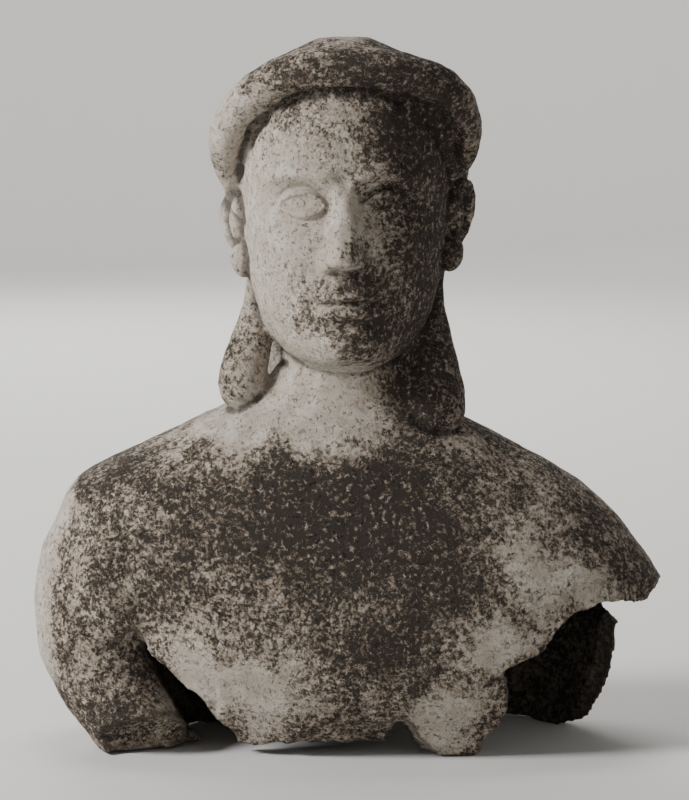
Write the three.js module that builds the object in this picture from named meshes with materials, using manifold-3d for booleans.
// An ancient terracotta bust: the broken-off upper part of a hollow clay figure.
// The body is an open shell of clay with ragged lower edges, the arm stump, neck and head are solid,
// and the hair roll, ears and locks are rolls of clay pressed on before firing.
// Millimetres. +X is the viewer's right, -Y faces the viewer, +Z is up, and the breaks rest on Z = 0.

import * as THREE from 'three';
import { mergeVertices } from 'three/addons/utils/BufferGeometryUtils.js';
import Module from 'manifold-3d';

const wasm = await Module();
wasm.setup();

// Driving dimensions
const shoulderWidth = 263;
const bodyDepth = 114;
const neckTop = 168; // height at which the neck has gone into the head
const wall = 7; // thickness of the clay shell
const chinHeight = 163; // height of the chin above the ground
const headHeight = 130; // chin to crown
const clay = 0xb5a692;

const halfWidth = shoulderWidth / 2;
const halfDepth = bodyDepth / 2;

const { clamp, lerp, smoothstep } = THREE.MathUtils;
const bell = (...offsets) => Math.exp(-offsets.reduce((sum, offset) => sum + offset * offset, 0));

// A smooth repeatable noise from -1 to 1, for everything that is broken or pressed by hand.
function lattice(i, j, k) {
  const s = Math.sin(i * 127.1 + j * 311.7 + k * 74.7) * 43758.5453;
  return 2 * (s - Math.floor(s)) - 1;
}

function noise(x, y, z) {
  const [i, j, k] = [x, y, z].map(Math.floor);
  const [u, v, w] = [x - i, y - j, z - k].map((t) => t * t * (3 - 2 * t));
  const alongX = (dj, dk) => lerp(lattice(i, j + dj, k + dk), lattice(i + 1, j + dj, k + dk), u);
  return lerp(lerp(alongX(0, 0), alongX(1, 0), v), lerp(alongX(0, 1), alongX(1, 1), v), w);
}

// Reads a table of stations, whose first column is a height, at any height.
function profile(stations) {
  const columns = stations[0].length - 1;
  const heights = stations.map((row) => row[0]);
  const curve = new THREE.CubicInterpolant(heights, stations.flatMap((row) => row.slice(1)), columns);
  const [lowest, highest] = [heights[0], heights[heights.length - 1]];
  return (height) => [...curve.evaluate(clamp(height, lowest, highest))];
}

// The point at an angle, 0 facing the viewer and turning to the right, on a section that reaches
// left, right, front and back of the axis. A squareness over 1 fills out its corners.
function onSection([left, right, front, back], turn, squareness = 1) {
  const across = Math.sign(Math.sin(turn)) * Math.abs(Math.sin(turn)) ** (1 / squareness);
  const along = Math.sign(Math.cos(turn)) * Math.abs(Math.cos(turn)) ** (1 / squareness);
  const x = (right - left) / 2 + (across * (right + left)) / 2;
  return [x, -along * (along > 0 ? front : back)];
}

// A lathe of unit radius, closed at both ends, whose every vertex is then given its own place.
function loft(levels, sides, place) {
  const turned = [0, ...levels.map(() => 1), 0].map(
    (radius, i) => new THREE.Vector2(radius, levels[clamp(i - 1, 0, levels.length - 1)]),
  );
  const geometry = new THREE.LatheGeometry(turned, sides);
  const position = geometry.getAttribute('position');
  for (let i = 0; i < position.count; i++) {
    const [x, level, z] = [position.getX(i), position.getY(i), position.getZ(i)];
    position.setXYZ(i, ...place(level, Math.atan2(x, z), Math.hypot(x, z) > 0.5));
  }
  return geometry;
}

// A clay roll along a path. radii gives [across, through] at each share of its length.
function roll(points, radii, rings, sides) {
  const path = new THREE.CatmullRomCurve3(points.map((p) => new THREE.Vector3(...p)));
  const profileOfRadii = profile(radii);
  const towardsViewer = new THREE.Vector3(0, -1, 0);
  const levels = Array.from({ length: rings + 1 }, (_, i) => (1 - Math.cos((Math.PI * i) / rings)) / 2);
  return loft(levels, sides, (share, turn, onRim) => {
    const centre = path.getPointAt(share);
    const tangent = path.getTangentAt(share);
    const side = new THREE.Vector3().crossVectors(tangent, towardsViewer).normalize();
    const forward = new THREE.Vector3().crossVectors(side, tangent);
    const [across, through] = profileOfRadii(share);
    const rounding = onRim ? Math.sqrt(Math.max(0, 1 - (2 * share - 1) ** 6)) : 0;
    centre.addScaledVector(side, rounding * across * Math.sin(turn));
    centre.addScaledVector(forward, rounding * through * Math.cos(turn));
    return centre.toArray();
  });
}

// An egg of clay, tilted in the front plane.
function lump([x, y, z], [across, through, tall], tilt = 0, detail = 9) {
  return new THREE.SphereGeometry(1, detail, Math.round(detail * 0.7))
    .rotateX(Math.PI / 2)
    .scale(across, through, tall)
    .rotateY(tilt)
    .translate(x, y, z);
}

// A prism seen from the front, from one depth to another, whose outline is broken up every few millimetres.
function raggedPrism(outline, fromY, toY, step = 6, raggedness = 1.1) {
  const shape = new THREE.Shape(outline.map(([x, z]) => new THREE.Vector2(x, z)));
  shape.closePath();
  const broken = shape.curves.flatMap((edge) => {
    const parts = Math.max(1, Math.round(edge.getLength() / step));
    return edge.getPoints(parts).slice(0, -1);
  });
  const steps = Math.max(1, Math.round((toY - fromY) / step));
  const geometry = new THREE.ExtrudeGeometry(new THREE.Shape(broken), {
    depth: toY - fromY,
    steps,
    bevelEnabled: false,
  })
    .rotateX(Math.PI / 2)
    .translate(0, toY, 0);
  return roughen(geometry, raggedness, step);
}

// Moves every vertex by up to about an amount, the same for vertices at the same place.
function roughen(geometry, amount, grain) {
  const position = geometry.getAttribute('position');
  for (let i = 0; i < position.count; i++) {
    const at = [position.getX(i), position.getY(i), position.getZ(i)];
    const [u, v, w] = at.map((c) => Math.round(c * 50) / 50 / grain);
    const shove = [noise(u + 9, v, w), noise(u, v + 17, w), noise(u, v, w + 31)];
    position.setXYZ(i, ...at.map((c, axis) => c + 1.6 * amount * shove[axis]));
  }
  return geometry;
}

function solid(geometry) {
  const bare = geometry.clone().deleteAttribute('normal').deleteAttribute('uv');
  const merged = mergeVertices(bare, 1e-3);
  const made = new wasm.Manifold(
    new wasm.Mesh({
      numProp: 3,
      vertProperties: merged.getAttribute('position').array,
      triVerts: new Uint32Array(merged.index.array),
    }),
  );
  if (made.volume() < 0) throw new Error('a solid is inside out');
  return made;
}

function geometryOf(made) {
  const mesh = made.getMesh();
  return new THREE.BufferGeometry()
    .setAttribute('position', new THREE.BufferAttribute(mesh.vertProperties, 3))
    .setIndex(new THREE.BufferAttribute(mesh.triVerts, 1));
}

// The body, from below the break to the neck, in shares of neckTop, halfWidth and halfDepth:
// height, then how far it reaches left, right, front and back.
const bodyStations = [
  [-0.07, 0.52, 0.72, 0.6, 0.88],
  [0.0, 0.57, 0.78, 0.69, 0.92],
  [0.12, 0.66, 0.86, 0.87, 0.97],
  [0.2, 0.71, 0.885, 0.96, 1.0],
  [0.27, 0.75, 0.885, 1.0, 1.0],
  [0.32, 0.78, 0.905, 1.0, 1.0],
  [0.36, 0.81, 0.975, 1.0, 1.0],
  [0.4, 0.835, 1.0, 1.0, 1.0],
  [0.45, 0.86, 0.97, 0.98, 0.98],
  [0.52, 0.9, 0.905, 0.93, 0.95],
  [0.58, 0.915, 0.845, 0.87, 0.91],
  [0.63, 0.895, 0.77, 0.82, 0.87],
  [0.67, 0.845, 0.705, 0.775, 0.83],
  [0.7, 0.775, 0.635, 0.74, 0.8],
  [0.75, 0.63, 0.515, 0.66, 0.72],
  [0.8, 0.5, 0.39, 0.57, 0.63],
  [0.84, 0.385, 0.285, 0.52, 0.56],
  [0.89, 0.265, 0.215, 0.485, 0.51],
  [0.94, 0.215, 0.19, 0.465, 0.48],
  [1.02, 0.21, 0.18, 0.455, 0.47],
];
const bodyAt = profile(bodyStations);
const bodySquareness = (height) => lerp(1.16, 1, smoothstep(height, 0.5 * neckTop, 0.8 * neckTop));

function bodySection(height) {
  const [left, right, front, back] = bodyAt(height / neckTop);
  return [left * halfWidth, right * halfWidth, front * halfDepth, back * halfDepth];
}

const levelsBetween = (from, to, count) => Array.from({ length: count + 1 }, (_, i) => lerp(from, to, i / count));

function bodyOutside() {
  const levels = [levelsBetween(-0.06, 0.32, 5), levelsBetween(0.36, 0.6, 5), levelsBetween(0.63, 0.85, 8)].flat();
  const heights = [...levels, ...levelsBetween(0.89, 1.01, 2)].map((share) => share * neckTop);
  return loft(heights, 40, (height, turn, onRim) => {
    const section = bodySection(height);
    const [x, y] = onRim ? onSection(section, turn, bodySquareness(height)) : [0, 0];
    return [x, y, height];
  });
}

// The hollow keeps the wall's thickness inside the outside, and stops under the neck.
function bodyHollow() {
  const top = 0.715 * neckTop;
  return loft(levelsBetween(-0.08 * neckTop, top, 11), 30, (height, turn, onRim) => {
    const drop = wall * 0.8 * smoothstep(height, 0.2 * neckTop, 0.5 * neckTop);
    const section = bodySection(height + drop).map((reach) => reach - wall);
    const [x, y] = onRim ? onSection(section, turn, bodySquareness(height)) : [0, 0];
    return [x, y, onRim ? height : height + (height > 0 ? 2 : 0)];
  });
}

// The upper arm hangs from the shoulder, and comes inwards and forwards to where it is broken.
function upperArm() {
  const points = [
    [-74, 3, 104],
    [-90, 2, 90],
    [-100.5, 1, 73],
    [-105, -2, 55],
    [-103, -8, 38],
    [-93.5, -18, 19],
    [-79, -31, 1],
    [-66, -42, -14],
  ];
  const radii = [
    [0, 18, 24],
    [0.14, 29, 34],
    [0.27, 29.5, 34],
    [0.4, 27, 32],
    [0.52, 25, 28],
    [0.67, 20.5, 22],
    [0.85, 18, 19],
    [1, 16, 17],
  ];
  return roll(points, radii, 14, 18);
}

// The breaks as seen from the front: [across, height] in millimetres.
const leftBreak = [
  [-86, 54],
  [-80, 41],
  [-66, 30],
  [-60, 24],
  [-55, 17],
  [-46, 9],
  [-43, -20],
  [-112, -20],
  [-106, 30],
  [-102, 45],
  [-93, 51],
];
const rightWindow = [
  [160, 63],
  [131, 65],
  [123, 61],
  [113, 65],
  [103, 64],
  [93, 62],
  [87, 55],
  [81, 46],
  [76, 42],
  [68, 40],
  [62, 37],
  [66, 32],
  [65, 22],
  [61, 14],
  [54, 5],
  [50, -20],
  [160, -20],
];
const rightEdge = [
  [160, 64],
  [131, 65],
  [123, 61],
  [113, 64],
  [108, 60],
  [108.5, 53],
  [112, 47],
  [120, 41],
  [160, 40],
];

// How far the broken foot of the shell stands off the ground. It touches in front on both sides of an
// arch, and behind.
function footHeight(x, y) {
  const inFront = smoothstep(-y, 5, 25);
  const frontArch = (6.5 * bell(((x - 5) / 27) ** 4) + 5 * bell((x - 22) / 4)) * inFront;
  const underCut = 12 * smoothstep(-y, 37, 48) * bell(((x - 5) / 29) ** 4);
  const leftFront = 5 * bell(((x + 44) / 26) ** 4) * inFront;
  const backArch = 6 * bell(((x + 6) / 20) ** 4) * smoothstep(y, 15, 40);
  const rightArch = 7 * smoothstep(x, 84, 110);
  const ragged = 1.4 * noise(x / 6, y / 6, 3);
  return Math.max(0, frontArch + underCut + leftFront + backArch + rightArch + ragged - 0.6);
}

function ground() {
  const [length, depth, below] = [2.4 * halfWidth, 2.8 * halfDepth, 40];
  const slab = new THREE.BoxGeometry(length, depth, below, 42, 22, 1).translate(0, 0, -below / 2);
  const position = slab.getAttribute('position');
  for (let i = 0; i < position.count; i++) {
    if (position.getZ(i) > -1) position.setZ(i, footHeight(position.getX(i), position.getY(i)));
  }
  return slab;
}

// The forearm has broken off, and the break faces forwards and down.
function forearmBreak() {
  const block = new THREE.BoxGeometry(70, 40, 44, 10, 6, 6);
  return roughen(block, 1, 6).rotateX(-0.62).rotateZ(0.35).translate(-84, -58, 1);
}

// The face, on the canon of three equal parts from hairline to chin and five eye widths across.
const crown = chinHeight + headHeight;
const eyeLine = chinHeight + headHeight / 2;
const hairline = chinHeight + 0.88 * headHeight;
const third = (hairline - chinHeight) / 3;
const browLine = hairline - third;
const noseBase = browLine - third;
const mouthLine = noseBase - third / 3;
const faceHalfWidth = headHeight / 3;
const eyeWidth = (2 * faceHalfWidth) / 5;

// height, then half width, front and back, in shares of headHeight above the chin
const headStations = [
  [-0.04, 0.1, 0.2, 0.24],
  [0.0, 0.17, 0.315, 0.26],
  [0.05, 0.225, 0.35, 0.28],
  [0.12, 0.27, 0.355, 0.3],
  [0.22, 0.302, 0.355, 0.33],
  [0.35, 0.318, 0.35, 0.36],
  [0.48, 0.333, 0.345, 0.38],
  [0.6, 0.336, 0.35, 0.39],
  [0.72, 0.328, 0.345, 0.38],
  [0.84, 0.29, 0.305, 0.33],
  [0.93, 0.21, 0.23, 0.25],
  [0.985, 0.09, 0.1, 0.1],
];
const headAt = profile(headStations);

function nose(x, z) {
  const tip = noseBase + 0.045 * headHeight;
  const along = clamp((browLine - 2 - z) / (browLine - 2 - tip), 0, 1);
  const under = smoothstep(z, noseBase - 1.5, tip - 1);
  const ridge = lerp(2.5, 13.5, along ** 1.2) * smoothstep(browLine + 3 - z, 0, 9) * bell((x / lerp(5, 7.5, along)) ** 2);
  const wings = 7.5 * bell((Math.abs(x) - 6) / 4.2, (z - noseBase - 4) / 4.5) * smoothstep(z, noseBase - 2, noseBase + 1.5);
  return Math.max(under * ridge, wings);
}

function eye(x, z) {
  const off = Math.abs(x) - eyeWidth;
  const socket = -5 * bell(off / 11.5, (z - eyeLine - 1) / 7);
  const swell = 1 - (off / (0.56 * eyeWidth)) ** 2 - ((z - eyeLine) / 5.8) ** 2;
  const arch = browLine - 1.5 + 2.5 * (1 - ((off - 1) / 15) ** 2);
  const brow = 3 * bell((z - arch) / 3.4) * smoothstep(17 - Math.abs(off), 0, 6);
  return socket + 4.6 * Math.sqrt(Math.max(0, swell)) + brow;
}

function mouth(x, z) {
  const mound = 2.8 * bell(x / 17, (z - mouthLine) / 12);
  const bow = mouthLine + 0.5 - 1.2 * bell(x / 4);
  const upper = 2.6 * bell((x / 12.5) ** 2, (z - bow - 3) / 2.6);
  const lower = 3 * bell((x / 10.5) ** 2, (z - mouthLine + 3.8) / 3);
  const line = -1.8 * bell((x / 13) ** 2, (z - mouthLine) / 1.5);
  const fold = -2 * bell(x / 12, (z - mouthLine + 9.5) / 2.6);
  return mound + upper + lower + line + fold;
}

function faceRelief(x, z) {
  const cheek = 2.2 * bell((Math.abs(x) - 27) / 12, (z - noseBase - 10) / 12);
  const chin = 4.2 * bell(x / 13, (z - chinHeight - 8) / 8);
  return nose(x, z) + eye(x, z) + mouth(x, z) + cheek + chin;
}

function head() {
  const levels = levelsBetween(-0.035, 0.98, 36).map((share) => chinHeight + share * headHeight);
  return loft(levels, 52, (height, turn, onRim) => {
    const [side, front, back] = headAt((height - chinHeight) / headHeight).map((share) => share * headHeight);
    const crowded = turn - 0.42 * Math.sin(turn); // more of the columns go to the face
    const [x, y] = onRim ? onSection([side, side, front, back], crowded, 1.05) : [0, 0];
    const forward = onRim ? smoothstep(Math.cos(crowded), 0.1, 0.6) * faceRelief(x, height) : 0;
    return [x - 1, y - forward, height];
  });
}

// The hair behind the roll covers the skull, and falls behind the neck to the shoulders:
// height, then half width, front and back of the axis, in millimetres. A front below 0 is behind the axis.
const hairStations = [
  [124, 34, -24, 40],
  [140, 39.5, -14, 42.5],
  [160, 40.5, -8, 45],
  [180, 40.5, -3, 49],
  [200, 43.5, 5, 53],
  [220, 49, 16, 56.5],
  [240, 52.5, 30, 58],
  [256, 52, 37, 56],
  [269, 46.5, 40, 51],
  [281, 36, 37, 42],
  [288.5, 24, 26, 30],
  [293.5, 8, 10, 12],
];
const hairAt = profile(hairStations);

function hair() {
  return loft(levelsBetween(124, 293, 16), 24, (height, turn, onRim) => {
    const [side, front, back] = hairAt(height);
    const [middle, reach] = [(back - front) / 2, (back + front) / 2];
    const [x, y] = onRim ? onSection([side, side, reach, reach], turn, 1.08) : [0, 0];
    return [x - 1, y + middle, height];
  });
}

function hairRoll() {
  const points = [
    [-46.5, -3, 227],
    [-49.5, -8, 240],
    [-49, -14, 253],
    [-41, -23, 268],
    [-22, -32, 280],
    [0, -35, 282.5],
    [25, -32, 280],
    [43.5, -23, 271],
    [49, -13, 255],
    [48.5, -5, 238],
  ];
  const radii = [
    [0, 6, 7],
    [0.12, 8, 10],
    [0.3, 9, 11],
    [0.5, 8.6, 11],
    [0.75, 8.2, 10.5],
    [0.9, 6.6, 9],
    [1, 5.5, 7],
  ];
  return roll(points, radii, 24, 12);
}

// An ear is a rim of clay bent round a small lump, with a thick lobe under it.
function ear(side, lift) {
  const points = [
    [42, -10, 219],
    [45.5, -5, 229],
    [48.5, 3, 229],
    [48.5, 7, 219],
    [45, 3, 209],
    [42, -2, 204],
  ];
  const rim = roll(
    points.map(([x, y, z]) => [side * x, y, z + lift]),
    [
      [0, 4, 4],
      [0.3, 5.2, 5],
      [0.7, 5.2, 5],
      [1, 4, 4],
    ],
    10,
    8,
  );
  const inside = lump([side * 44, -1, 218 + lift], [5, 7, 9]);
  const lobe = lump([side * 42.5, -4, 203 + lift], [6.2, 7.5, 8.5], side * 0.1);
  return [rim, inside, lobe];
}

const leftLock = () =>
  roll(
    [
      [-36, 10, 212],
      [-36.5, 4, 190],
      [-39, -2, 172],
      [-43, -8, 156],
      [-45, -13, 139],
    ],
    [
      [0, 6, 8],
      [0.35, 6.5, 8.5],
      [0.7, 9.8, 10],
      [0.88, 10.6, 10.6],
      [1, 9, 9],
    ],
    12,
    11,
  );

const rightLock = () =>
  roll(
    [
      [35, 10, 212],
      [33.5, 4, 190],
      [34, -3, 170],
      [36, -12, 151],
      [35, -20, 129],
    ],
    [
      [0, 6, 8],
      [0.35, 7.5, 9],
      [0.7, 12.5, 11],
      [0.88, 14.5, 11.5],
      [1, 12, 10],
    ],
    12,
    11,
  );

const arm = solid(upperArm());
const armpit = solid(lump([-92, 0, 70], [31, 41.5, 47], 0.1, 14));
const shell = solid(bodyOutside()).add(armpit).add(arm).subtract(solid(bodyHollow()));
const broken = shell
  .subtract(solid(raggedPrism(leftBreak, -90, -18)).subtract(arm))
  .subtract(solid(raggedPrism(rightWindow, -90, 16)))
  .subtract(solid(raggedPrism(rightEdge, -90, 90)));
const upper = [head(), hair(), hairRoll(), ...ear(-1, -1), ...ear(1, 1.5), leftLock(), rightLock()]
  .map(solid)
  .reduce((whole, piece) => whole.add(piece), broken);
const bust = upper.subtract(solid(ground())).subtract(solid(forearmBreak()));

const terracotta = new THREE.MeshStandardMaterial({ color: clay, roughness: 0.95, metalness: 0 });
const mesh = new THREE.Mesh(geometryOf(bust), terracotta);
mesh.name = 'terracotta_bust';

// The origin is on the ground, under the middle of the whole.
const extent = new THREE.Box3().setFromObject(mesh);
const middle = extent.getCenter(new THREE.Vector3());
mesh.position.set(-middle.x, -middle.y, -extent.min.z);

const group = new THREE.Group();
group.add(mesh);

export default group;
